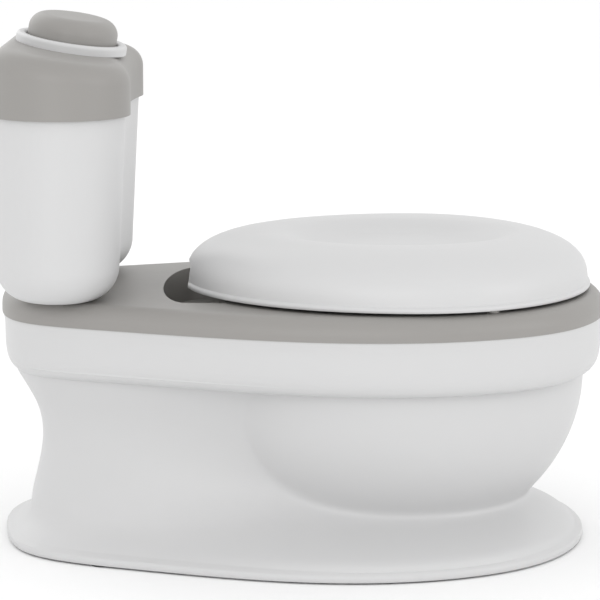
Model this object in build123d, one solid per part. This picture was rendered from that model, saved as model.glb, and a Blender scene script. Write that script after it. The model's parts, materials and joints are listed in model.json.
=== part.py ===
"""Toddler's potty training chair shaped like a small toilet.

Frame: +X is the front, +Y is the width, +Z is up, in millimetres. The origin is on the floor at the
middle of the chair's length and width.
"""

import math
import os

from build123d import *

# Overall
deck_rear = -194.5  # rear end of the base's rim and of the deck
deck_front = 194.5  # front end of the base's rim and of the deck
deck_bottom = 147.5  # where the deck meets the base's rim
deck_top = 162.0
deck_half_front = 131.0  # half width over the bowl
deck_half_rear = 89.0  # half width beside the tank
deck_widest = 78.5  # X of the widest place
deck_corner = 70.0  # length of the rounded rear corner
shell_wall = 3.0
fit_gap = 0.3  # between parts that only locate each other
rest_gap = 0.05  # between parts that slide on each other
past = 1.0  # how far a cutter reaches past what it cuts
far = 300.0  # more than the chair measures from its middle
length_tolerance = 0.001

# Base
flange_rear = -193.7
flange_front = 183.0
flange_half_rear = 113.0
flange_half_front = 145.0
flange_widest = 50.5
flange_corner = 90.0
flange_height = 6.5
flange_round = 2.5
foot_height = 4.0
foot_radius = 8.0
ground_gap = 1.2  # the moulded rim stops this far above the floor, so that the feet bear
band_height = 35.5  # white rim band below the deck
bowl_center = 54.0
bowl_half_length = 128.0
bowl_half_width = 117.0
bowl_level = 108.0
bowl_depth = 115.0
ledge_level = 118.0
ledge_width = 24.0
ledge_thickness = 3.0
middle_widest = 30.0  # X of the pedestal's widest place
foot_boss_top = 30.0
foot_boss_wall = 1.5
foot_chamfer = 0.6
flare_sections = [(5.5, 3.0), (14.5, 14.6)]  # level, and how far in from the flange's edge
waist_sections = [  # level, rear, front, half width at the rear and at the widest place
    (30.0, -175.5, 143.0, 82.0, 86.0),
    (64.0, -168.5, 112.0, 72.0, 76.0),
    (92.0, -174.5, 100.0, 74.0, 80.0),
    (118.0, -187.5, 100.0, 80.0, 84.0),
]
band_sections = [(0.0, 9.0), (4.0, 4.5), (12.0, 2.2), (35.5, 0.0)]  # rise, and how far in from the deck's edge
hollow_sections = [(4.5, 5.0), (11.0, 15.0)]  # the same for the hollow under the flange

# Deck
deck_round = 11.0
collar_depth = 14.0
pocket_rear = -89.5
pocket_front = -47.5
pocket_half = 72.0
pocket_depth = 22.0
pocket_end = 18.0  # length of the pocket's round rear end
seat_land = 7.0  # width of the step that the pot's rim rests on
seat_opening_drop = 9.0

# Pot
pot_center = 58.5
pot_rim_length = 96.0  # half lengths and half widths
pot_rim_width = 86.0
pot_rim_thickness = 3.0
pot_rim_margin = 11.0
pot_wall = 2.4
pot_bottom = 44.0
pot_draft = 9.0
pot_round = 20.0
guard_height = 18.0
guard_thickness = 4.0
guard_reach = 40.0  # how far back from the pot's nose the splash guard starts

# Lid
lid_gap = 2.0
lid_rear = -75.5
lid_margin = 10.0
lid_half = 123.0
lid_widest = 70.5
lid_height = 34.0
lid_round = 24.0
lid_wall = 3.0
lid_bead = 1.2
lid_bead_height = 3.0
dish_center = 60.5
dish_half_length = 66.0
dish_half_width = 58.0
dish_depth = 9.0
heel_height = 12.0  # height of the flat that is cut into the skirt's rear end
heel_depth = 2.5  # its depth at the bottom
heel_lean = 1.5  # how much deeper it is at the top
arm_back = 2.0  # how far a knuckle's arm reaches behind the pin's middle
lug_height = 8.0
lug_wall = 2.5

# Hinge
hinge_x = -54.5
hinge_level = 163.5
hinge_y = 30.0  # middle of each knuckle
knuckle_width = 12.0
knuckle_radius = 6.0
cheek_width = 4.0
cheek_gap = 0.4
cheek_front = 2.0  # how far ahead of the pin's middle a cheek's post starts, to clear the opening lid
pin_radius = 2.0
pin_head = 1.5
pin_head_step = 1.2

# Bumpers under the lid
bumper_x = 118.5
bumper_y = 103.0
bumper_radius = 4.0

# Tank
tank_rear = -191.5
tank_front = -109.0
tank_lobe_y = 62.0
tank_hollow = 6.0  # depth of the concave front face
tank_lean = 6.0  # how much thinner the tank is at its foot than at its top
tank_top = 291.0
tank_round = 22.0
tank_wall = 3.0
boss_height = 10.0
tank_screw_x = -151.5
tank_screw_y = 45.0
boss_radius = 5.0
peg_spread = 17.0
peg_radius = 3.0
peg_hole = 9.0
hole_count = 6
hole_ring = 6.0

# Tank cap
cap_bottom = 279.0
cap_wall = 3.0
cap_fit = 0.4
cap_level = 316.0  # top face at the button's centre
cap_slope = 9.0  # degrees, falling to the front
cap_round = 13.0
cap_roof = 3.0

# Flush button
button_x = -148.0
button_half_length = 28.5
button_half_width = 39.5
button_height = 20.0
button_round = 10.0
button_wall = 2.5
button_lift = 3.6
ring_half_length = 35.5
ring_half_width = 47.0
ring_width = 6.0
ring_height = 6.0
ring_round = 2.2
stem_radius = 5.0
stem_fit = 0.1
guide_radius = 8.0
guide_length = 17.0
plunger_radius = 3.0
plunger_end = 34.0
clip_thickness = 1.2
clip_radius = 8.0
clip_groove = 4.0
spring_radius = 8.5
spring_wire = 0.6
spring_turns = 6
clip_opening = 3.2  # half width

# Sound unit in the tank
battery_radius = 7.1
battery_length = 50.5
battery_pitch = 15.0
battery_count = 3
battery_play = 0.3
cell_end_gap = 2.0
nub_radius = 2.7
nub_length = 1.0
contact_half = 5.0
contact_thickness = 0.5
end_play = 2.2  # beyond each end of a cell, for its contact
box_wall = 2.0
box_depth = 18.0
box_bottom = 216.0
door_thickness = 3.0
door_half_width = 34.0
door_margin = 4.0  # overlap of the door on the tank's wall
door_corner = 5.0
door_edge = 1.2
door_screw_drop = 6.0
door_screw_sink = 1.2
door_screw_head = 1.5
slot_half = 0.4  # half width of the cross in the door screw's head
shelf_front = -142.5
shelf_half = 26.0
shelf_thickness = 3.0
post_height = 5.0
post_radius = 3.0
post_edge = 6.0  # from a post's middle to the shelf's edge
post_rear = 7.0
board_edge = 1.0
board_rear = 2.0
chip_x = -172.5
chip_half = 4.0
chip_half_width = 5.0
chip_height = 1.2
board_thickness = 1.6
switch_size = 12.0
switch_height = 4.0
switch_cap_radius = 3.5
switch_cap_height = 3.0
speaker_level = 197.0
speaker_radius = 14.0
speaker_depth = 5.0
magnet_radius = 8.0
magnet_depth = 5.0
retainer_thickness = 1.5
retainer_half = 21.0
retainer_bar = 4.0  # half height of its two ears
retainer_radius = 12.5
retainer_screw = 6.0
sound_hole = 1.2
lead_radius = 0.8
lead_spacing = 4.0
lead_x = -164.5
lead_bend = 4.0
lead_hole_gap = 0.4

# Fasteners
screw_radius = 1.5
screw_head_radius = 3.2
screw_head = 2.2
screw_clearance = 0.2
small_screw_radius = 1.0
small_head_radius = 1.9
small_head = 1.3
small_clearance = 0.2
screw_hole = 18.0  # from the ledge up into the deck
deck_screw_length = 16.0
tank_screw_length = 14.0
screw_places = [(-169.5, 30.0), (-169.5, -30.0), (150.5, 60.0), (150.5, -60.0)]
foot_places = [(-123.5, 96.0), (-123.5, -96.0), (114.5, 102.0), (114.5, -102.0)]

# Worked out
lid_rim = deck_top + lid_gap
lid_front = deck_front - lid_margin
band_bottom = deck_bottom - band_height
tank_radius = (tank_front - tank_rear) / 2
box_height = battery_count * battery_pitch + 2 * box_wall
box_top = box_bottom + box_height
box_half = battery_length / 2 + end_play + box_wall
tank_inner_rear = tank_rear + tank_wall
board_level = box_top + post_height
cell_x = tank_inner_rear + box_depth - box_wall - battery_radius - battery_play
clip_top = -cap_roof - guide_length  # below the cap's top face, along the stem
door_screw_level = box_top - door_margin - door_screw_drop


def plan(rear, front, half_rear, half_front, widest, corner):
    """Closed outline on z = 0: blunt rear end, widest ahead of the middle, round nose."""
    diagonal = math.sqrt(0.5)
    side = [
        (rear + (1 - diagonal) * corner, diagonal * half_rear),
        (rear + corner, half_rear),
        (widest, half_front),
        (widest + diagonal * (front - widest), diagonal * half_front),
    ]
    other = [(x, -y) for x, y in reversed(side)]
    return make_face(Spline((rear, 0), *side, (front, 0), *other, periodic=True))


def deck_plan(inset):
    """The deck's outline, moved in by inset."""
    return plan(
        deck_rear + inset,
        deck_front - inset,
        deck_half_rear - inset,
        deck_half_front - inset,
        deck_widest,
        deck_corner,
    )


def flange_plan(inset):
    """The foot flange's outline, moved in by inset."""
    return plan(
        flange_rear + inset,
        flange_front - inset,
        flange_half_rear - inset,
        flange_half_front - inset,
        flange_widest,
        flange_corner,
    )


def egg(rear, front, half, widest):
    """The lid's outline on z = 0: half an ellipse behind its widest place and half one ahead."""
    ahead = EllipticalCenterArc((widest, 0), front - widest, half, start_angle=-90, arc_size=180)
    behind = EllipticalCenterArc((widest, 0), widest - rear, half, start_angle=90, arc_size=180)
    return make_face([ahead, behind])


def raised(face, bottom, top):
    """The face pulled up from one level to another."""
    return extrude(Pos(0, 0, bottom) * face, amount=top - bottom, dir=(0, 0, 1))


def disc(x, y, bottom, top, radius):
    """An upright cylinder between two levels."""
    return Pos(x, y, bottom) * Cylinder(radius, top - bottom, align=(Align.CENTER, Align.CENTER, Align.MIN))


def rod(radius, start, end, y):
    """A cylinder along X between two places, at the height start[1]."""
    middle = (start[0] + end[0]) / 2
    return Pos(middle, y, start[1]) * Rot(0, 90, 0) * Cylinder(radius, abs(end[0] - start[0]))


def block(x0, x1, y0, y1, z0, z1):
    """A box between two corners."""
    return Pos((x0 + x1) / 2, (y0 + y1) / 2, (z0 + z1) / 2) * Box(x1 - x0, y1 - y0, z1 - z0)


def ellipsoid(x, z, length, width, height):
    """An ellipsoid with its middle on the plane y = 0."""
    return Pos(x, 0, z) * scale(Sphere(1), by=(length, width, height))


def top_edges(solid, level):
    """The edges of a solid that lie at one level."""
    out = []
    for edge in solid.edges():
        box = edge.bounding_box()
        if abs(box.min.Z - level) < length_tolerance and abs(box.max.Z - level) < length_tolerance:
            out.append(edge)
    return out


def screws(places, seat, length, radius, head_radius, head):
    """Upright screws driven upwards, each with its head below seat."""
    out = []
    for x, y in places:
        out.append(disc(x, y, seat, seat + length, radius) + disc(x, y, seat - head, seat, head_radius))
    return Compound(children=out)


# Base


def pedestal(inset):
    """The waisted foot between the flange and the rim band."""
    faces = []
    for level, step in flare_sections:
        faces.append(Pos(0, 0, level) * flange_plan(inset + step))
    for level, rear, front, half_rear, half_front in waist_sections:
        outline = plan(
            rear + inset, front - inset, half_rear - inset, half_front - inset, middle_widest, flange_corner
        )
        faces.append(Pos(0, 0, level) * outline)
    return loft(faces)


def band(inset):
    """The rim band under the deck, with its rounded underside."""
    faces = []
    for rise, step in band_sections:
        faces.append(Pos(0, 0, band_bottom + rise) * deck_plan(step + inset))
    return loft(faces)


def bowl(inset):
    """The lower half of the bowl, up to inside the rim band."""
    round_body = ellipsoid(
        bowl_center, bowl_level, bowl_half_length - inset, bowl_half_width - inset, bowl_depth - inset
    )
    return round_body & block(-far, far, -far, far, ground_gap + inset, ledge_level)


def base_solid(inset):
    """The outside of the base, or its cavity where inset is the wall."""
    return pedestal(inset) + band(inset) + bowl(inset)


def base_shell():
    """White outer moulding, open at the top and underneath."""
    rim = raised(flange_plan(0), ground_gap, flange_height)
    rim = fillet(top_edges(rim, flange_height), flange_round)
    outside = base_solid(0) + rim
    foot_core = raised(flange_plan(shell_wall), 0, hollow_sections[0][0] + past / 2)
    under = loft([Pos(0, 0, level) * flange_plan(step) for level, step in hollow_sections])
    shell = outside - base_solid(shell_wall) - foot_core - under
    shell -= raised(deck_plan(shell_wall), deck_bottom - past, deck_bottom + past)
    ledge_top = ledge_level + ledge_thickness
    ledge = raised(deck_plan(shell_wall), ledge_level, ledge_top)
    ledge -= raised(deck_plan(shell_wall + ledge_width), ledge_level - past, ledge_top + past)
    ledge &= outside
    for x, y in screw_places:
        ledge -= disc(x, y, ledge_level - past, ledge_top + past, screw_radius + screw_clearance)
    shell += ledge
    for x, y in foot_places:
        shell += disc(x, y, foot_height, foot_boss_top, foot_radius + foot_boss_wall) & outside
        shell -= disc(x, y, 0, foot_height, foot_radius + fit_gap)
    return shell


def feet():
    """Four rubber pads under the flange."""
    pads = []
    for x, y in foot_places:
        pad = disc(x, y, 0, foot_height, foot_radius)
        pads.append(chamfer(top_edges(pad, 0), foot_chamfer))
    return Compound(children=pads)


# Deck


def oval(half_length, half_width, bottom, top):
    """An upright elliptical solid around the pot's middle."""
    return Pos(pot_center, 0, 0) * raised(Ellipse(half_length, half_width), bottom, top)


def pocket(grow, bottom, top):
    """The hinge pocket's space: square in front, with a round rear end."""
    middle = pocket_rear + pocket_end
    half = pocket_half + grow
    front = pocket_front + grow
    outline = make_face([
        EllipticalCenterArc((middle, 0), pocket_end + grow, half, start_angle=90, arc_size=180),
        Polyline((middle, -half), (front, -half), (front, half), (middle, half)),
    ])
    return raised(outline, bottom, top)


def seat_deck():
    """Grey deck that closes the base, with the pot's seat and the hinge pocket."""
    body = raised(deck_plan(0), deck_bottom, deck_top)
    body = fillet(top_edges(body, deck_top), deck_round)
    body -= raised(deck_plan(shell_wall), deck_bottom - past, deck_top - deck_round)
    body -= raised(deck_plan(deck_round), deck_bottom - past, deck_top - shell_wall)
    rim_length = pot_rim_length + fit_gap
    rim_width = pot_rim_width + fit_gap
    seat = deck_top - pot_rim_thickness
    body += oval(rim_length + shell_wall, rim_width + shell_wall, deck_top - collar_depth, deck_top - past)
    body -= oval(rim_length, rim_width, seat, deck_top + past)
    opening_bottom = deck_bottom - seat_opening_drop
    body -= oval(pot_rim_length - seat_land, pot_rim_width - seat_land, opening_bottom, deck_top)
    body += pocket(shell_wall, deck_top - pocket_depth - shell_wall, deck_top - past)
    body -= pocket(0, deck_top - pocket_depth, deck_top + past)
    for x, y in screw_places:
        body += disc(x, y, ledge_level + ledge_thickness, deck_top - past, boss_radius)
        body -= disc(x, y, ledge_level, ledge_level + screw_hole, screw_radius)
    for y in (tank_screw_y, -tank_screw_y):
        body -= disc(tank_screw_x, y, deck_bottom, deck_top + past, screw_radius + screw_clearance)
    for side in (1, -1):
        for step in (-1, 1):
            offset = side * hinge_y + step * (knuckle_width / 2 + cheek_gap + cheek_width / 2)
            cheek = block(
                hinge_x + cheek_front, pocket_front + past,
                offset - cheek_width / 2, offset + cheek_width / 2,
                deck_top - pocket_depth - past, hinge_level,
            )
            cheek += Pos(hinge_x, offset, hinge_level) * Rot(90, 0, 0) * Cylinder(knuckle_radius, cheek_width)
            cheek -= Pos(hinge_x, offset, hinge_level) * Rot(90, 0, 0) * Cylinder(pin_radius, 2 * cheek_width)
            body += cheek
    return body


def hinge_pins():
    """Two steel pins, held in the deck's cheeks."""
    reach = knuckle_width / 2 + cheek_gap + cheek_width
    pins = []
    for side in (1, -1):
        pin = Pos(hinge_x, side * hinge_y, hinge_level) * Rot(90, 0, 0) * Cylinder(pin_radius, 2 * reach)
        head = Pos(hinge_x, side * (hinge_y + reach + pin_head / 2), hinge_level)
        pin += head * Rot(90, 0, 0) * Cylinder(pin_radius + pin_head_step, pin_head)
        pins.append(pin)
    return Compound(children=pins)


# Pot


def pot_solid(inset):
    """The pot's outside, or its inside where inset is the wall."""
    length = pot_rim_length - pot_rim_margin - inset
    width = pot_rim_width - pot_rim_margin - inset
    bottom = pot_bottom + inset
    body = extrude(
        Pos(pot_center, 0, deck_top) * Ellipse(length, width), amount=deck_top - bottom, dir=(0, 0, -1),
        taper=pot_draft,
    )
    return fillet(top_edges(body, bottom), pot_round - inset)


def inner_pot():
    """Lift-out pot with its rim, splash guard and finger tab."""
    body = pot_solid(0)
    body += oval(pot_rim_length, pot_rim_width, deck_top - pot_rim_thickness, deck_top)
    guard_length = pot_rim_length - pot_rim_margin
    guard_width = pot_rim_width - pot_rim_margin
    guard = oval(guard_length, guard_width, deck_top - past, deck_top + guard_height)
    nose = pot_center + guard_length - guard_reach
    guard &= block(nose, far, -far, far, 0, far)
    body += guard
    body -= pot_solid(pot_wall)
    body -= oval(
        guard_length - guard_thickness, guard_width - guard_thickness, deck_top - past / 2,
        deck_top + guard_height + past,
    )
    return body


# Lid


def lid_plan(inset):
    """The lid's outline, moved in by inset."""
    return egg(lid_rear + inset, lid_front - inset, lid_half - inset, lid_widest)


def lid_solid(inset):
    """The lid's rounded outside, or its inside where inset is the wall."""
    lid_top = lid_rim + lid_height
    bottom = lid_rim - past if inset else lid_rim
    body = raised(lid_plan(inset), bottom, lid_top - inset)
    body = fillet(top_edges(body, lid_top - inset), lid_round - inset)
    return body - ellipsoid(
        dish_center, lid_top + past, dish_half_length + inset, dish_half_width + inset,
        dish_depth + past + inset,
    )


def heel_cut():
    """What is cut off the rear end of the lid's skirt, so that it clears the pocket as the lid opens."""
    low = lid_rim - past
    high = lid_rim + heel_height
    outline = Polyline(
        (-far, low), (lid_rear + heel_depth, low), (lid_rear + heel_depth, lid_rim),
        (lid_rear + heel_depth + heel_lean, high), (-far, high), close=True,
    )
    return extrude(Plane.XZ * make_face(outline), amount=lid_half, both=True)


def lid_shell():
    """White domed lid with a shallow dish, a bead round its edge and two hinge knuckles."""
    body = lid_solid(0)
    body += raised(lid_plan(-lid_bead), lid_rim, lid_rim + lid_bead_height)
    body -= heel_cut()
    body -= lid_solid(lid_wall + heel_depth)
    body -= lid_solid(lid_wall) & block(hinge_x - knuckle_radius, far, -far, far, 0, far)
    for side in (1, -1):
        y = side * hinge_y
        arm = block(
            hinge_x - arm_back, hinge_x + knuckle_radius, y - knuckle_width / 2, y + knuckle_width / 2,
            hinge_level, lid_rim + lid_height,
        )
        arm &= lid_solid(past)
        arm += Pos(hinge_x, y, hinge_level) * Rot(90, 0, 0) * Cylinder(knuckle_radius, knuckle_width)
        arm -= Pos(hinge_x, y, hinge_level) * Rot(90, 0, 0) * Cylinder(pin_radius + rest_gap, 2 * knuckle_width)
        body += arm
        lug = disc(bumper_x, side * bumper_y, lid_rim, lid_rim + lug_height, bumper_radius + lug_wall)
        body += lug & raised(lid_plan(0), lid_rim, lid_rim + lug_height)
    return body


def lid_bumpers():
    """Two soft pads under the lid."""
    pads = []
    for side in (1, -1):
        pads.append(disc(bumper_x, side * bumper_y, deck_top, lid_rim, bumper_radius))
    return Compound(children=pads)


# Tank


def tank_plan(grow, thinner=0.0):
    """Kidney outline: a flat back, two round lobes and a shallow hollow front, moved out by grow.

    The hollow is an arc that touches both lobes, so the outline has no corners.
    """
    lobe = tank_radius - thinner / 2
    middle = tank_rear + lobe
    radius = lobe + grow
    reach = lobe - tank_hollow
    hollow_radius = (reach**2 + tank_lobe_y**2 - lobe**2) / (2 * tank_hollow)
    span = hollow_radius + lobe
    touch_x = middle + radius * (reach + hollow_radius) / span
    touch_y = tank_lobe_y - radius * tank_lobe_y / span
    back = middle - radius
    edges = [
        Line((back, -tank_lobe_y), (back, tank_lobe_y)),
        ThreePointArc((back, tank_lobe_y), (middle, tank_lobe_y + radius), (touch_x, touch_y)),
        ThreePointArc((touch_x, touch_y), (middle + reach + grow, 0), (touch_x, -touch_y)),
        ThreePointArc((touch_x, -touch_y), (middle, -tank_lobe_y - radius), (back, -tank_lobe_y)),
    ]
    return make_face(edges)


def tank_solid(inset, top):
    """The tank's outside, or its inside where inset is the wall."""
    bottom = deck_top + inset
    foot = Pos(0, 0, bottom) * tank_plan(-inset, tank_lean)
    body = loft([foot, Pos(0, 0, cap_bottom) * tank_plan(-inset)])
    body += raised(tank_plan(-inset), cap_bottom, top)
    return fillet(top_edges(body, bottom), tank_round - inset)


def tank_shell():
    """White tank that stands on the deck, open at the top."""
    body = tank_solid(0, tank_top) - tank_solid(tank_wall, tank_top + past)
    floor = deck_top + tank_wall
    for side in (1, -1):
        y = side * tank_screw_y
        body += disc(tank_screw_x, y, floor - past, floor + boss_height, boss_radius)
        body -= disc(tank_screw_x, y, deck_top - past, floor + boss_height - past, screw_radius)
        peg = rod(
            peg_radius, (tank_inner_rear - past, speaker_level), (tank_inner_rear + speaker_depth, 0),
            side * peg_spread,
        )
        peg -= rod(
            small_screw_radius, (tank_inner_rear - past, speaker_level), (tank_inner_rear + peg_hole, 0),
            side * peg_spread,
        )
        body += peg
    body -= block(
        tank_rear - past, tank_inner_rear + past,
        -door_half_width + door_margin, door_half_width - door_margin,
        box_bottom + door_margin, box_top - door_margin,
    )
    holes = [(0.0, speaker_level)]
    for turn in range(hole_count):
        angle = 2 * math.pi * turn / hole_count
        holes.append((hole_ring * math.cos(angle), speaker_level + hole_ring * math.sin(angle)))
    for y, z in holes:
        body -= rod(sound_hole, (tank_rear - past, z), (tank_inner_rear + past, z), y)
    return body


# Cap and button


def on_slope(piece):
    """Places a piece built around the button's own upright axis onto the sloping cap."""
    return Pos(button_x, 0, cap_level) * Rot(0, cap_slope, 0) * piece


def below_slope(drop):
    """Everything under the cap's sloping top face, lowered by drop."""
    return on_slope(block(-far, far, -far, far, -far, -drop))


def cap_solid(grow, bottom, drop, radius):
    """The cap's outside, or its hollow."""
    body = raised(tank_plan(grow), bottom, cap_level + far) & below_slope(drop)
    return fillet(body.faces().sort_by(Axis.Z)[-1].edges(), radius)


def tank_cap():
    """Grey lift-off cap with a sloping top and a guide for the button's stem."""
    body = cap_solid(cap_wall, cap_bottom, 0, cap_round)
    body -= cap_solid(-tank_wall, tank_top, cap_roof, cap_round - cap_roof)
    body -= raised(tank_plan(cap_fit), cap_bottom - past, tank_top)
    body += on_slope(disc(0, 0, clip_top, -past, guide_radius))
    body -= on_slope(Cylinder(stem_radius + stem_fit, far / 2))
    return body


def bezel_ring():
    """White oval ring round the button."""
    outer = raised(Ellipse(ring_half_length, ring_half_width), 0, ring_height)
    outer -= raised(
        Ellipse(ring_half_length - ring_width, ring_half_width - ring_width), -past, ring_height + past
    )
    return on_slope(fillet(top_edges(outer, ring_height), ring_round))


def flush_button():
    """Grey button with its stem, which slides in the cap's guide."""
    cover = raised(Ellipse(button_half_length, button_half_width), button_lift, button_height)
    cover = fillet(top_edges(cover, button_height), button_round)
    hollow = raised(
        Ellipse(button_half_length - button_wall, button_half_width - button_wall), button_lift - past,
        button_height - button_wall,
    )
    hollow = fillet(top_edges(hollow, button_height - button_wall), button_round - button_wall)
    body = cover - hollow
    clip_bottom = clip_top - clip_thickness
    body += disc(0, 0, clip_bottom - past, button_height - past, stem_radius)
    body -= disc(0, 0, clip_bottom, clip_top, stem_radius + past) - disc(0, 0, clip_bottom, clip_top, clip_groove)
    body += disc(0, 0, -plunger_end, clip_bottom, plunger_radius)
    return on_slope(body)


def button_clip():
    """Retaining ring on the stem that stops the button at the guide."""
    low = clip_top - clip_thickness - past
    high = clip_top + past
    ring = disc(0, 0, clip_top - clip_thickness, clip_top, clip_radius)
    ring -= disc(0, 0, low, high, clip_groove)
    ring -= block(0, far, -clip_opening, clip_opening, low, high)
    return on_slope(ring)


def button_spring():
    """Coil spring between the cap and the button."""
    height = button_height - button_wall - 2 * spring_wire
    path = Pos(0, 0, spring_wire) * Helix(height / spring_turns, height, spring_radius)
    start = Plane(origin=path @ 0, z_dir=path % 0)
    return on_slope(sweep(start * Circle(spring_wire), path=path, is_frenet=True))


# Sound unit


def battery_box():
    """Open-backed battery case with a shelf for the circuit board."""
    front = tank_inner_rear + box_depth
    body = block(tank_inner_rear, front, -box_half, box_half, box_bottom, box_top)
    body += block(
        tank_inner_rear, shelf_front, -shelf_half, shelf_half, box_top - shelf_thickness, box_top
    )
    body -= block(
        tank_inner_rear - past, front - box_wall, -box_half + box_wall, box_half - box_wall,
        box_bottom + box_wall, box_top - box_wall,
    )
    for x, y in board_screw_places():
        body += disc(x, y, box_top - past, board_level, post_radius)
        body -= disc(x, y, box_top - past / 2, board_level + past, small_screw_radius)
    for y in (lead_spacing, -lead_spacing):
        body -= disc(lead_x, y, box_top - 2 * shelf_thickness, box_top + past, lead_radius + lead_hole_gap)
    return body


def board_screw_places():
    """Where the circuit board is screwed down."""
    x_rear = tank_inner_rear + post_rear
    x_front = shelf_front - post_edge
    return [(x, y) for x in (x_rear, x_front) for y in (shelf_half - post_edge, post_edge - shelf_half)]


def cell_levels():
    """Height of each cell's middle."""
    return [box_bottom + box_wall + battery_pitch * (row + 0.5) for row in range(battery_count)]


def batteries():
    """Cells lying side by side across the case."""
    cells = []
    for row, z in enumerate(cell_levels()):
        cell = Pos(cell_x, 0, z) * Rot(90, 0, 0) * Cylinder(battery_radius, battery_length - cell_end_gap)
        side = 1 if row % 2 else -1
        nub = Pos(cell_x, side * (battery_length - nub_length) / 2, z)
        nub = nub * Rot(90, 0, 0) * Cylinder(nub_radius, nub_length)
        cells.append(cell + nub)
    return Compound(children=cells)


def battery_contacts():
    """Pressed metal contacts at both ends of each cell."""
    plates = []
    outside = box_half - box_wall
    inside = outside - contact_thickness
    for z in cell_levels():
        for y0, y1 in ((inside, outside), (-outside, -inside)):
            plates.append(block(
                cell_x - contact_half, cell_x + contact_half, y0, y1, z - contact_half, z + contact_half
            ))
    return Compound(children=plates)


def battery_door():
    """Raised cover on the tank's back that closes the battery case."""
    body = block(
        tank_rear - door_thickness, tank_rear, -door_half_width, door_half_width, box_bottom, box_top
    )
    body = fillet(body.edges().filter_by(Axis.X), door_corner)
    body = fillet(body.faces().sort_by(Axis.X)[0].edges(), door_edge)
    inner = door_margin + fit_gap
    body += block(
        tank_rear, tank_inner_rear, -door_half_width + inner, door_half_width - inner,
        box_bottom + inner, box_top - inner,
    )
    outside = (tank_rear - door_thickness - past, door_screw_level)
    body -= rod(screw_radius + screw_clearance, outside, (tank_inner_rear + past, 0), 0)
    body -= rod(screw_head_radius + 2 * screw_clearance, outside, (tank_rear - door_screw_sink, 0), 0)
    return body


def door_screw():
    """Screw that keeps the battery door shut."""
    z = door_screw_level
    seat = tank_rear - door_screw_sink
    top = seat - door_screw_head
    body = rod(screw_radius, (seat, z), (tank_inner_rear + past, z), 0)
    head = rod(screw_head_radius, (top, z), (seat, z), 0)
    reach = screw_head_radius - small_clearance
    middle = (top + seat) / 2
    head -= block(top - past, middle, -reach, reach, z - slot_half, z + slot_half)
    head -= block(top - past, middle, -slot_half, slot_half, z - reach, z + reach)
    return body + head


def circuit_board():
    """Sound board on the battery case's shelf."""
    top = board_level + board_thickness
    body = block(
        tank_inner_rear + board_rear, shelf_front - board_edge,
        board_edge - shelf_half, shelf_half - board_edge, board_level, top,
    )
    for x, y in board_screw_places():
        body -= disc(x, y, board_level - past, top + past, small_screw_radius + small_clearance)
    body += block(
        chip_x - chip_half, chip_x + chip_half, -chip_half_width, chip_half_width,
        board_level, top + chip_height,
    )
    return body


def board_screws():
    """Four small screws that hold the board."""
    out = []
    top = board_level + board_thickness
    for x, y in board_screw_places():
        shank = disc(x, y, box_top, top, small_screw_radius)
        out.append(shank + disc(x, y, top, top + small_head, small_head_radius))
    return Compound(children=out)


def button_switch():
    """Push switch under the button's plunger."""
    x = button_x - plunger_end * math.sin(math.radians(cap_slope))
    top = board_level + board_thickness
    half = switch_size / 2
    body = block(x - half, x + half, -half, half, top, top + switch_height)
    return body + disc(x, 0, top + switch_height, top + switch_height + switch_cap_height, switch_cap_radius)


def speaker():
    """Small loudspeaker behind the sound holes."""
    back = tank_inner_rear + speaker_depth
    body = rod(speaker_radius, (tank_inner_rear, speaker_level), (back, 0), 0)
    return body + rod(magnet_radius, (back, speaker_level), (back + magnet_depth, 0), 0)


def speaker_retainer():
    """Plate that clamps the loudspeaker to the tank's back wall."""
    x = tank_inner_rear + speaker_depth
    before = (x - past, speaker_level)
    behind = (x + retainer_thickness + past, 0)
    body = block(
        x, x + retainer_thickness, -retainer_half, retainer_half,
        speaker_level - retainer_bar, speaker_level + retainer_bar,
    )
    body += rod(retainer_radius, (x, speaker_level), (x + retainer_thickness, 0), 0)
    body -= rod(magnet_radius + lead_hole_gap, before, behind, 0)
    for y in (peg_spread, -peg_spread):
        body -= rod(small_screw_radius + small_clearance / 2, before, behind, y)
    return body


def speaker_screws():
    """Two screws through the retainer."""
    out = []
    x = tank_inner_rear + speaker_depth + retainer_thickness
    for y in (peg_spread, -peg_spread):
        shank = rod(small_screw_radius, (x - retainer_screw, speaker_level), (x, 0), y)
        out.append(shank + rod(small_head_radius, (x, speaker_level), (x + small_head, 0), y))
    return Compound(children=out)


def speaker_leads():
    """Two leads from the loudspeaker up to the board."""
    start_x = tank_inner_rear + speaker_depth + magnet_depth
    out = []
    for y in (lead_spacing, -lead_spacing):
        path = FilletPolyline(
            (start_x, y, speaker_level), (lead_x, y, speaker_level), (lead_x, y, board_level), radius=lead_bend
        )
        start = Plane(origin=path @ 0, z_dir=path % 0)
        out.append(sweep(start * Circle(lead_radius), path=path))
    return Compound(children=out)


def tank_screws():
    """Two screws from under the deck into the tank."""
    places = [(tank_screw_x, tank_screw_y), (tank_screw_x, -tank_screw_y)]
    return screws(places, deck_top - shell_wall, tank_screw_length, screw_radius, screw_head_radius, screw_head)


def deck_screws():
    """Four screws from under the base's ledge into the deck."""
    return screws(screw_places, ledge_level, deck_screw_length, screw_radius, screw_head_radius, screw_head)


PARTS = [
    base_shell, feet, seat_deck, deck_screws, hinge_pins, inner_pot, lid_shell, lid_bumpers, tank_shell,
    tank_screws, tank_cap, bezel_ring, flush_button, button_clip, button_spring, battery_box, batteries,
    battery_contacts, battery_door, door_screw, circuit_board, board_screws, button_switch, speaker,
    speaker_retainer, speaker_screws, speaker_leads,
]

os.makedirs("parts", exist_ok=True)
for make in PARTS:
    export_step(make(), f"parts/{make.__name__}.step")
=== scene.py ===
"""Looks of the toddler's potty chair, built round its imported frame. Metres, +X front, +Z up."""

import json
import math

import bmesh
import bpy
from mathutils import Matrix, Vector
from mathutils.bvhtree import BVHTree


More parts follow.
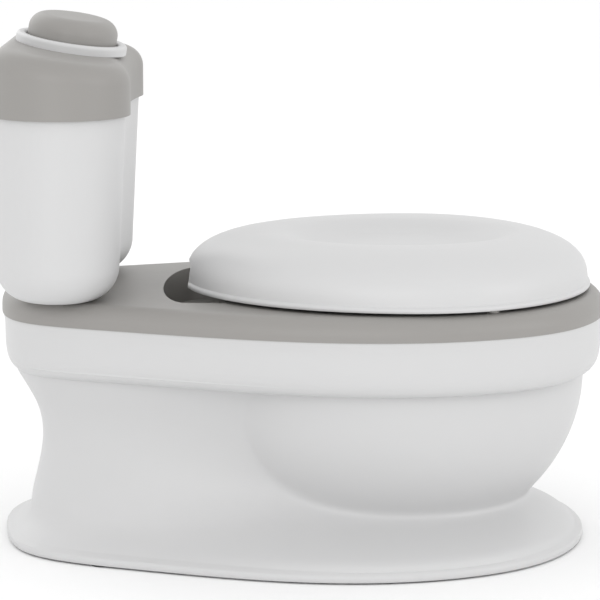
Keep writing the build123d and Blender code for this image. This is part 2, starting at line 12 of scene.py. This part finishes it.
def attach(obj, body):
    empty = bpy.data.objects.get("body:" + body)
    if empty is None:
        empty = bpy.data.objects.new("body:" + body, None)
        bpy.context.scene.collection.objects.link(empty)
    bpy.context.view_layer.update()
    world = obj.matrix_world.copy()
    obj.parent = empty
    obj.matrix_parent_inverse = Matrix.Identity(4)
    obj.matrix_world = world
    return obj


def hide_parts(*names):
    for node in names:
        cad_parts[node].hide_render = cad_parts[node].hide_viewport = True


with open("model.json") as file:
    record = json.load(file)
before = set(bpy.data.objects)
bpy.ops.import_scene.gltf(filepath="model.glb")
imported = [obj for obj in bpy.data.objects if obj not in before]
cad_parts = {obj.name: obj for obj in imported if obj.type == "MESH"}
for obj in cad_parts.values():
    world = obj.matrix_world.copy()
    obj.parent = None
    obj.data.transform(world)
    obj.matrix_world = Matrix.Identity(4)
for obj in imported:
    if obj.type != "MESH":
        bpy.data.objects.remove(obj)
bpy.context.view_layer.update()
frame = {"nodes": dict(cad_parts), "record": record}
nodes = frame["nodes"]

MM = 0.001
CAMERA_PLACE = (0.0268, -1.991, 0.485)
CAMERA_LENS = 187.0
CAMERA_PITCH = 0.1657  # radians downwards
CAMERA_TURN = -0.0142  # radians from +Y, clockwise seen from above


# Materials


def node_group(name, inputs, outputs):
    """A new shader node group with float or colour sockets; returns it with its input and output nodes."""
    group = bpy.data.node_groups.new(name, "ShaderNodeTree")
    for label, kind, value in inputs:
        socket = group.interface.new_socket(label, in_out="INPUT", socket_type=kind)
        socket.default_value = value
    for label, kind in outputs:
        group.interface.new_socket(label, in_out="OUTPUT", socket_type=kind)
    return group, group.nodes.new("NodeGroupInput"), group.nodes.new("NodeGroupOutput")


def add_node(tree, kind, links=None, **settings):
    """A node with its settings, and its inputs linked or set."""
    node = tree.nodes.new(kind)
    for key, value in settings.items():
        setattr(node, key, value)
    for label, value in (links or {}).items():
        socket = node.inputs[label]
        if isinstance(value, bpy.types.NodeSocket):
            tree.links.new(value, socket)
        else:
            socket.default_value = value
    return node


def moulded_surface():
    """Group: the skin of a moulded part, with fine texture, slow unevenness and rubbed patches."""
    group, start, end = node_group(
        "moulded_surface",
        [
            ("Color", "NodeSocketColor", (0.8, 0.8, 0.8, 1)),
            ("Grain Scale", "NodeSocketFloat", 900.0),
            ("Grain Depth", "NodeSocketFloat", 0.10),
            ("Roughness", "NodeSocketFloat", 0.35),
            ("Roughness Spread", "NodeSocketFloat", 0.06),
            ("Shade Spread", "NodeSocketFloat", 0.03),
        ],
        [("Color", "NodeSocketColor"), ("Roughness", "NodeSocketFloat"), ("Normal", "NodeSocketVector")],
    )
    place = add_node(group, "ShaderNodeTexCoord").outputs["Object"]
    grain = add_node(
        group, "ShaderNodeTexNoise", {"Vector": place, "Scale": start.outputs["Grain Scale"], "Detail": 2.0}
    )
    flow = add_node(group, "ShaderNodeTexNoise", {"Vector": place, "Scale": 9.0, "Detail": 3.0})
    smear = add_node(
        group, "ShaderNodeTexNoise", {"Vector": place, "Scale": 38.0, "Detail": 4.0, "Roughness": 0.6}
    )
    centred = add_node(group, "ShaderNodeMath", {0: smear.outputs["Fac"], 1: 0.5}, operation="SUBTRACT")
    spread = add_node(
        group, "ShaderNodeMath", {0: centred.outputs[0], 1: start.outputs["Roughness Spread"]},
        operation="MULTIPLY",
    )
    rough = add_node(
        group, "ShaderNodeMath", {0: start.outputs["Roughness"], 1: spread.outputs[0]}, operation="ADD"
    )
    shade = add_node(group, "ShaderNodeMath", {0: flow.outputs["Fac"], 1: 0.5}, operation="SUBTRACT")
    shade = add_node(
        group, "ShaderNodeMath", {0: shade.outputs[0], 1: start.outputs["Shade Spread"], 2: 1.0},
        operation="MULTIPLY_ADD",
    )
    tint = add_node(
        group, "ShaderNodeVectorMath", {0: start.outputs["Color"], "Scale": shade.outputs[0]},
        operation="SCALE",
    )
    wave = add_node(
        group, "ShaderNodeBump", {"Height": flow.outputs["Fac"], "Strength": 0.04, "Distance": 0.004}
    )
    bump = add_node(
        group, "ShaderNodeBump",
        {
            "Height": grain.outputs["Fac"], "Strength": start.outputs["Grain Depth"], "Distance": 0.0004,
            "Normal": wave.outputs["Normal"],
        },
    )
    group.links.new(tint.outputs[0], end.inputs["Color"])
    group.links.new(rough.outputs[0], end.inputs["Roughness"])
    group.links.new(bump.outputs[0], end.inputs["Normal"])
    return group


SURFACE = moulded_surface()


def finish_of(name, color, roughness, grain_depth=0.1, grain_scale=900.0, shade=0.03, spread=0.06, **shader):
    """A moulded or drawn finish; further settings go straight to the shader's own sockets."""
    material = bpy.data.materials.new(name)
    material.use_nodes = True
    tree = material.node_tree
    bsdf = tree.nodes["Principled BSDF"]
    surface = add_node(tree, "ShaderNodeGroup", node_tree=SURFACE)
    values = {
        "Color": (*color, 1), "Grain Scale": grain_scale, "Grain Depth": grain_depth, "Roughness": roughness,
        "Roughness Spread": spread, "Shade Spread": shade,
    }
    for label, value in values.items():
        surface.inputs[label].default_value = value
    tree.links.new(surface.outputs["Color"], bsdf.inputs["Base Color"])
    tree.links.new(surface.outputs["Roughness"], bsdf.inputs["Roughness"])
    tree.links.new(surface.outputs["Normal"], bsdf.inputs["Normal"])
    for label, value in shader.items():
        bsdf.inputs[label.replace("_", " ")].default_value = value
    return material


WHITE = finish_of("white_shell", (0.585, 0.585, 0.587), 0.40, 0.05, 1400.0, 0.02, 0.07)
GREY = finish_of("grey_shell", (0.285, 0.275, 0.262), 0.45, 0.10, 1100.0, 0.04, 0.08)
POT = finish_of("pot_shell", (0.60, 0.60, 0.602), 0.24, 0.03, 1400.0, 0.02, 0.05)
DARK = finish_of("dark_moulding", (0.03, 0.03, 0.033), 0.5, 0.2, 700.0)
RUBBER = finish_of("rubber_pad", (0.05, 0.05, 0.05), 0.75, 0.5, 500.0, 0.15)
BUMPER = finish_of("soft_bumper", (0.42, 0.41, 0.39), 0.6, 0.3, 500.0, 0.1)
STEEL = finish_of("plated_steel", (0.62, 0.62, 0.63), 0.32, 0.2, 400.0, 0.1, 0.2, Metallic=1.0)
WIRE = finish_of("spring_wire", (0.5, 0.5, 0.51), 0.28, 0.15, 600.0, 0.1, 0.15, Metallic=1.0)
CELL = finish_of("cell_jacket", (0.02, 0.12, 0.07), 0.3, 0.05, 300.0, 0.3, 0.1, Metallic=0.4)
BOARD = finish_of("board_mask", (0.01, 0.11, 0.05), 0.3, 0.3, 250.0, 0.5, 0.2)
SPEAKER = finish_of("speaker_can", (0.09, 0.09, 0.1), 0.35, 0.2, 300.0, 0.2, 0.1, Metallic=0.8)
LEAD = finish_of("lead_sleeve", (0.5, 0.03, 0.02), 0.45, 0.15, 500.0, 0.1)

FINISHES = {
    "white_plastic": WHITE, "grey_plastic": GREY, "pot_plastic": POT, "dark_plastic": DARK, "rubber": RUBBER,
    "bumper_rubber": BUMPER, "steel": STEEL, "spring_steel": WIRE, "cell_jacket": CELL, "board": BOARD,
    "speaker_metal": SPEAKER, "lead_insulation": LEAD,
}
NODE_SLOTS = {part["node"]: part["material_slot"] for part in frame["record"]["subparts"]}


def paint(piece, material):
    """Gives a piece one material."""
    if piece.material_slots:
        for place in piece.material_slots:
            place.material = material
    else:
        piece.data.materials.append(material)


for name, piece in nodes.items():
    paint(piece, FINISHES[NODE_SLOTS[name]])


# Shapes


RING_POINTS = 288
SAME_PLACE = 0.000005  # points nearer than this are one
SOFT_ANGLE = 40.0  # degrees; a sharper fold stays an edge


def skin(name, rings, closed, smooth_angle=SOFT_ANGLE):
    """A closed skin through rings of points, the first and last of which may be single points.

    Where closed is set, the last ring is joined to the first.
    """
    shape = bmesh.new()
    count = max(len(ring) for ring in rings)
    rows = [[shape.verts.new(point) for point in ring] for ring in rings]
    pairs = list(zip(rows, rows[1:]))
    if closed:
        pairs.append((rows[-1], rows[0]))
    for low, high in pairs:
        for i in range(count):
            j = (i + 1) % count
            corners = [low[i % len(low)], low[j % len(low)], high[j % len(high)], high[i % len(high)]]
            shape.faces.new(tuple(dict.fromkeys(corners)))
    bmesh.ops.remove_doubles(shape, verts=shape.verts, dist=SAME_PLACE)
    bmesh.ops.recalc_face_normals(shape, faces=shape.faces)
    mesh = bpy.data.meshes.new(name)
    shape.to_mesh(mesh)
    shape.free()
    mesh.polygons.foreach_set("use_smooth", [True] * len(mesh.polygons))
    mesh.set_sharp_from_angle(angle=math.radians(smooth_angle))
    piece = bpy.data.objects.new(name, mesh)
    bpy.context.scene.collection.objects.link(piece)
    return piece


def turns():
    """Cosine and sine of each step round an outline."""
    angles = [2 * math.pi * step / RING_POINTS for step in range(RING_POINTS)]
    return [(math.cos(angle), math.sin(angle)) for angle in angles]


# Lid

LID_RIM = 164.0 * MM
LID_REAR, LID_FRONT = -75.5 * MM, 184.5 * MM
LID_HALF = 123.0 * MM
LID_WIDEST = 70.5 * MM
HEEL_X = -73.0 * MM
HEEL_LEAN = 0.125  # how far the heel leans forward for each unit of height
DISH_X, DISH_LENGTH, DISH_WIDTH = 60.5 * MM, 76.0 * MM, 62.0 * MM
# How far in from the edge, and the height above the rim, in millimetres.
BEAD = [(0.8, 0.0), (-0.6, 0.15), (-1.1, 0.8), (-1.2, 1.9), (-0.9, 2.8), (-0.1, 3.3), (0.4, 3.8)]
DOME = [
    (0.5, 6.0), (0.8, 9.0), (1.3, 11.9), (2.4, 15.0), (4.2, 18.2), (6.6, 21.0), (9.8, 23.7),
    (13.6, 26.1), (17.8, 28.1), (22.6, 29.9), (28.0, 31.4), (34.0, 32.6), (39.5, 33.4), (44.0, 33.8),
]
# From the crest to the dish's edge: share of the way, and the height.
SHOULDER = [(0.5, 33.9), (1.0, 33.3)]
# In the dish: share of its size, and the height.
HOLLOW = [
    (0.96, 32.6), (0.91, 31.2), (0.86, 29.5), (0.81, 27.9), (0.76, 26.7), (0.7, 25.9), (0.62, 25.5),
    (0.5, 25.3), (0.35, 25.2), (0.2, 25.1), (0.08, 25.1),
]
CUT_RINGS = 3  # the heel's flat reaches over this many outlines of the dome
LID_WALL = 3.0  # millimetres
HEEL_WALL = 5.5 * MM
LIP_BEVEL = 0.8 * MM
LIP_TOP = 1.5 * MM  # how far below the top of the heel's flat the wall's inner face starts
FULL_DROP = 20.0  # millimetres in from the edge where the inside is a whole wall lower
FULL_LOSS = 40.0  # and where its step sideways is least
STEP_LOSS = 0.6  # share of the wall that the step sideways has lost by then


def lid_outline(inset, level, heel_x=None):
    """One outline of the lid, moved in by inset, with its rear end cut at heel_x."""
    points = []
    for c, s in turns():
        reach = LID_FRONT - LID_WIDEST if c > 0 else LID_WIDEST - LID_REAR
        x = LID_WIDEST + c * (reach - inset)
        if heel_x is not None:
            x = max(x, heel_x)
        points.append((x, s * (LID_HALF - inset), level))
    return points


def lid_rings(drop):
    """The lid's upper skin from the rim to near the middle, lowered and moved in by drop millimetres."""
    rings = []
    if not drop:
        for inset, rise in BEAD + DOME[:CUT_RINGS]:
            rings.append(lid_outline(inset * MM, LID_RIM + rise * MM, HEEL_X + HEEL_LEAN * rise * MM))
    for inset, rise in DOME[CUT_RINGS - 1 if drop else CUT_RINGS:]:
        level = LID_RIM + (rise - drop * min(1.0, inset / FULL_DROP)) * MM
        step_in = drop * (1 - STEP_LOSS * min(1.0, inset / FULL_LOSS))
        rings.append(lid_outline((inset + step_in) * MM, level))
    crest = rings[-1]
    for share, rise in SHOULDER:
        ring = []
        for (x, y, _), (c, s) in zip(crest, turns()):
            x1 = DISH_X + DISH_LENGTH * c
            y1 = DISH_WIDTH * s
            ring.append((x + (x1 - x) * share, y + (y1 - y) * share, LID_RIM + (rise - drop) * MM))
        rings.append(ring)
    for share, rise in HOLLOW:
        level = LID_RIM + (rise - drop) * MM
        rings.append([(DISH_X + share * DISH_LENGTH * c, share * DISH_WIDTH * s, level) for c, s in turns()])
    rings.append([(DISH_X, 0.0, LID_RIM + (HOLLOW[-1][1] - drop) * MM)])
    return rings


def lid_skin():
    """The lid's shell with its bead, dish and rear flat."""
    heel = LID_RIM + DOME[CUT_RINGS - 1][1] * MM
    foot = [
        lid_outline(HEEL_WALL, heel - LIP_TOP),
        lid_outline(HEEL_WALL, LID_RIM + LIP_BEVEL),
        lid_outline(HEEL_WALL - LIP_BEVEL, LID_RIM),
    ]
    inside = list(reversed(lid_rings(LID_WALL)))
    return skin("lid_dome", inside + foot + lid_rings(0.0), closed=False)


# Hinge

PIN_X, PIN_LEVEL = -54.5 * MM, 163.5 * MM
KNUCKLE_RADIUS = 6.0 * MM
KNUCKLE_HALF = 6.0 * MM
KNUCKLE_Y = 30.0 * MM
ARM_BACK = 2.0 * MM
ARM_TOP = LID_RIM + 22.5 * MM
HUB_STEPS = 40
KNUCKLE_BEVEL = 0.4 * MM
KNUCKLE_ANGLE = 30.0


def knuckle(name, middle):
    """One of the lid's hinge arms with its round hub."""
    start = math.pi - math.asin(math.sqrt(1 - (ARM_BACK / KNUCKLE_RADIUS) ** 2))
    outline = [(PIN_X + KNUCKLE_RADIUS, ARM_TOP), (PIN_X - ARM_BACK, ARM_TOP)]
    for step in range(HUB_STEPS + 1):
        angle = start + (2 * math.pi - start) * step / HUB_STEPS
        outline.append((
            PIN_X + KNUCKLE_RADIUS * math.cos(angle), PIN_LEVEL + KNUCKLE_RADIUS * math.sin(angle)
        ))
    mid_x = sum(x for x, _ in outline) / len(outline)
    mid_z = sum(z for _, z in outline) / len(outline)
    inner = KNUCKLE_HALF - KNUCKLE_BEVEL
    steps = [(-KNUCKLE_HALF, KNUCKLE_BEVEL), (-inner, 0.0), (inner, 0.0), (KNUCKLE_HALF, KNUCKLE_BEVEL)]
    rings = []
    for y, shrink in steps:
        ring = []
        for x, z in outline:
            length = math.hypot(x - mid_x, z - mid_z)
            keep = 1 - shrink / length
            ring.append((mid_x + (x - mid_x) * keep, middle + y, mid_z + (z - mid_z) * keep))
        rings.append(ring)
    near_end = [(mid_x, middle - KNUCKLE_HALF, mid_z)]
    far_end = [(mid_x, middle + KNUCKLE_HALF, mid_z)]
    return skin(name, [near_end, *rings, far_end], closed=False, smooth_angle=KNUCKLE_ANGLE)


# Base

BASE_X = 20.0 * MM  # the middle that the base's outlines are measured from
OUTSIDE = 0.4  # further out than any part of the base
LOWEST, HIGHEST = 2, 147  # levels, in millimetres, at which the base is measured
TOP_MARGIN = 0.2 * MM
BASE_TOP = 147.5 * MM
BLUR_LOW, BLUR_HIGH = 10, 110  # levels, in millimetres, between which the skin is softened
BLUR_REACH = 9  # levels taken in above and below
BLUR_WIDTH = 4.2
AROUND_WEIGHTS = (1, 2, 3, 2, 1)  # of a place on an outline and the two on each side of it
# Levels of the outlines that the skin is made from, closer together where it bends.
SKIN_LEVELS = [*range(3, 30), *range(30, 108, 2), *range(108, 125), *range(125, HIGHEST, 3)]
FOOT_ROW, HOLLOW_ROW, LEDGE_ROW, TOP_ROW = 4, 10, 124, 146  # levels whose outlines are used again
CAVITY_FLOOR = 14  # millimetres; below it the inside follows the flange
GROUND_GAP = 1.2  # millimetres
# Inside of the flange: whose outline, how much thicker than the wall, and at what level.
FLANGE_INSIDE = [(HOLLOW_ROW, 2.0, 8.0), (FOOT_ROW, 1.0, 3.4), (FOOT_ROW, 0.0, GROUND_GAP)]
FLANGE_FOOT = [(0.6, GROUND_GAP), (0.15, GROUND_GAP + 0.5)]  # how far in, and the level, of its lower edge
BASE_WALL = 3.0 * MM
LEDGE_LEVEL, LEDGE_TOP = 118.0 * MM, 121.0 * MM
LEDGE_WIDTH = 24.0 * MM
FOOT_LEVEL = 4.0 * MM
FOOT_BOSS_TOP = 5.4 * MM
FOOT_BOSS_RADIUS = 8.5 * MM
FOOT_BOSS_BEVEL = 0.5 * MM
FOOT_BOSS_SKIP = 6  # it takes every sixth step round
FOOT_PLACES = [(-123.5, 96.0), (-123.5, -96.0), (114.5, 102.0), (114.5, -102.0)]


def base_radii():
    """Distance of the base's outside from its middle, by level in millimetres and by turn."""
    source = nodes["base_shell"].data
    tree = BVHTree.FromPolygons(
        [vertex.co[:] for vertex in source.vertices], [tuple(face.vertices) for face in source.polygons]
    )
    radii = {}
    for level in range(LOWEST, HIGHEST + 1):
        z = min(level * MM, BASE_TOP - TOP_MARGIN)
        row = []
        for c, s in turns():
            hit = tree.ray_cast(Vector((BASE_X + OUTSIDE * c, OUTSIDE * s, z)), Vector((-c, -s, 0.0)))
            row.append(OUTSIDE - hit[3])
        radii[level] = row
    return radii


def softened(radii):
    """The same distances with the meeting of bowl and pedestal rounded off."""
    out = dict(radii)
    for level in range(BLUR_LOW, BLUR_HIGH + 1):
        reach = min(BLUR_REACH, level - BLUR_LOW, BLUR_HIGH - level)
        weights = [math.exp(-((step / BLUR_WIDTH) ** 2)) for step in range(-reach, reach + 1)]
        rows = [radii[level + step] for step in range(-reach, reach + 1)]
        total = sum(weights)
        row = [sum(w * r[i] for w, r in zip(weights, rows)) / total for i in range(RING_POINTS)]
        around = []
        middle = len(AROUND_WEIGHTS) // 2
        for i in range(RING_POINTS):
            parts = [w * row[(i + step - middle) % RING_POINTS] for step, w in enumerate(AROUND_WEIGHTS)]
            around.append(sum(parts) / sum(AROUND_WEIGHTS))
        out[level] = around
    return out


def base_ring(row, inset, level):
    """One outline of the base."""
    return [(BASE_X + (r - inset) * c, (r - inset) * s, level) for r, (c, s) in zip(row, turns())]


def base_skin(radii):
    """The base's shell: outside from the floor to the deck, and inside back down."""
    outer = [base_ring(radii[FOOT_ROW], inset * MM, level * MM) for inset, level in FLANGE_FOOT]
    for level in SKIN_LEVELS:
        outer.append(base_ring(radii[level], 0.0, level * MM))
    outer.append(base_ring(radii[TOP_ROW], 0.0, BASE_TOP))
    inner = [base_ring(radii[TOP_ROW], BASE_WALL, BASE_TOP)]
    for level in reversed(SKIN_LEVELS):
        if level > CAVITY_FLOOR:
            inner.append(base_ring(radii[level], BASE_WALL, level * MM))
    for row, thicker, level in FLANGE_INSIDE:
        inner.append(base_ring(radii[row], BASE_WALL + thicker * MM, level * MM))
    return skin("base_body", outer + inner, closed=True)


def base_ledge(radii):
    """The ledge inside the base that the deck is screwed to."""
    row = radii[LEDGE_ROW]
    root_inset = BASE_WALL / 2
    edge_inset = BASE_WALL + LEDGE_WIDTH
    rings = [
        base_ring(row, root_inset, LEDGE_LEVEL), base_ring(row, root_inset, LEDGE_TOP),
        base_ring(row, edge_inset, LEDGE_TOP), base_ring(row, edge_inset, LEDGE_LEVEL),
    ]
    return skin("base_ledge", rings, closed=True)


def foot_boss(name, x, y):
    """Round boss that a rubber pad sits against."""
    steps = [
        (FOOT_BOSS_RADIUS - FOOT_BOSS_BEVEL, FOOT_LEVEL), (FOOT_BOSS_RADIUS, FOOT_LEVEL + FOOT_BOSS_BEVEL),
        (FOOT_BOSS_RADIUS, FOOT_BOSS_TOP),
    ]
    rings = [[(x * MM, y * MM, FOOT_LEVEL)]]
    around = turns()[::FOOT_BOSS_SKIP]
    for radius, level in steps:
        rings.append([(x * MM + radius * c, y * MM + radius * s, level) for c, s in around])
    rings.append([(x * MM, y * MM, FOOT_BOSS_TOP)])
    return skin(name, rings, closed=False)


def add_piece(piece, body, slot_name, *replaced):
    """Paints a piece, hangs it on its body and hides the CAD parts that it stands for."""
    paint(piece, FINISHES[slot_name])
    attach(piece, body)
    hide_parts(*replaced)


def make_shell_pieces():
    """The softer skins that stand for the plain CAD shells."""
    add_piece(lid_skin(), "lid", "white_plastic", "lid_shell")
    add_piece(knuckle("lid_knuckle_left", KNUCKLE_Y), "lid", "white_plastic", "lid_shell")
    add_piece(knuckle("lid_knuckle_right", -KNUCKLE_Y), "lid", "white_plastic", "lid_shell")
    radii = softened(base_radii())
    add_piece(base_skin(radii), "root", "white_plastic", "base_shell")
    add_piece(base_ledge(radii), "root", "white_plastic", "base_shell")
    for number, (x, y) in enumerate(FOOT_PLACES):
        add_piece(foot_boss(f"foot_boss_{number}", x, y), "root", "white_plastic", "base_shell")


# Stage

FLOOR_HALF = 6.0
PAPER_DARK = (0.945, 0.945, 0.945, 1)
PAPER_LIGHT = (0.96, 0.96, 0.96, 1)
PAPER_ROUGHNESS = 0.9
SURROUND = (1, 1, 1, 1)
SURROUND_STRENGTH = 1.05
# Name, place, what it faces, size and power of each soft light.
LIGHTS = [
    ("key", (-0.5, -2.6, 0.9), (0, 0, 0.12), 1.6, 10),
    ("side", (2.0, -0.9, 0.9), (0, 0, 0.12), 1.2, 5),
    ("back", (-1.2, 2.0, 1.2), (0, 0, 0.15), 1.6, 5),
]


def soft_light(name, place, target, size, power):
    """A square area light that faces a place."""
    data = bpy.data.lights.new(name, "AREA")
    data.size = size
    data.energy = power
    lamp = bpy.data.objects.new(name, data)
    lamp.location = place
    lamp.rotation_euler = (Vector(target) - Vector(place)).to_track_quat("-Z", "Y").to_euler()
    bpy.context.scene.collection.objects.link(lamp)


def make_stage():
    """Pale flat floor, soft lights and a bright even surround."""
    mesh = bpy.data.meshes.new("studio_floor")
    floor = bpy.data.objects.new("studio_floor", mesh)
    bpy.context.scene.collection.objects.link(floor)
    shape = bmesh.new()
    bmesh.ops.create_grid(shape, x_segments=2, y_segments=2, size=FLOOR_HALF)
    shape.to_mesh(mesh)
    shape.free()
    material = bpy.data.materials.new("studio_paper")
    material.use_nodes = True
    tree = material.node_tree
    bsdf = tree.nodes["Principled BSDF"]
    noise = add_node(tree, "ShaderNodeTexNoise", {"Scale": 3.0, "Detail": 2.0})
    ramp = add_node(tree, "ShaderNodeValToRGB", {"Fac": noise.outputs["Fac"]})
    ramp.color_ramp.elements[0].color = PAPER_DARK
    ramp.color_ramp.elements[1].color = PAPER_LIGHT
    tree.links.new(ramp.outputs["Color"], bsdf.inputs["Base Color"])
    bsdf.inputs["Roughness"].default_value = PAPER_ROUGHNESS
    mesh.materials.append(material)
    world = bpy.data.worlds.new("studio")
    world.use_nodes = True
    surround = world.node_tree.nodes["Background"]
    surround.inputs["Color"].default_value = SURROUND
    surround.inputs["Strength"].default_value = SURROUND_STRENGTH
    bpy.context.scene.world = world
    for light in LIGHTS:
        soft_light(*light)


def make_camera():
    """Camera a little above the seat, looking along +Y."""
    data = bpy.data.cameras.new("camera")
    data.sensor_width = 36.0
    data.lens = CAMERA_LENS
    data.clip_end = 50.0
    camera = bpy.data.objects.new("camera", data)
    camera.location = CAMERA_PLACE
    level = math.cos(CAMERA_PITCH)
    gaze = Vector((math.sin(CAMERA_TURN) * level, math.cos(CAMERA_TURN) * level, -math.sin(CAMERA_PITCH)))
    camera.rotation_euler = gaze.to_track_quat("-Z", "Y").to_euler()
    bpy.context.scene.collection.objects.link(camera)
    bpy.context.scene.camera = camera


make_shell_pieces()
make_stage()
make_camera()

scene = bpy.context.scene
scene.view_settings.view_transform = "Standard"
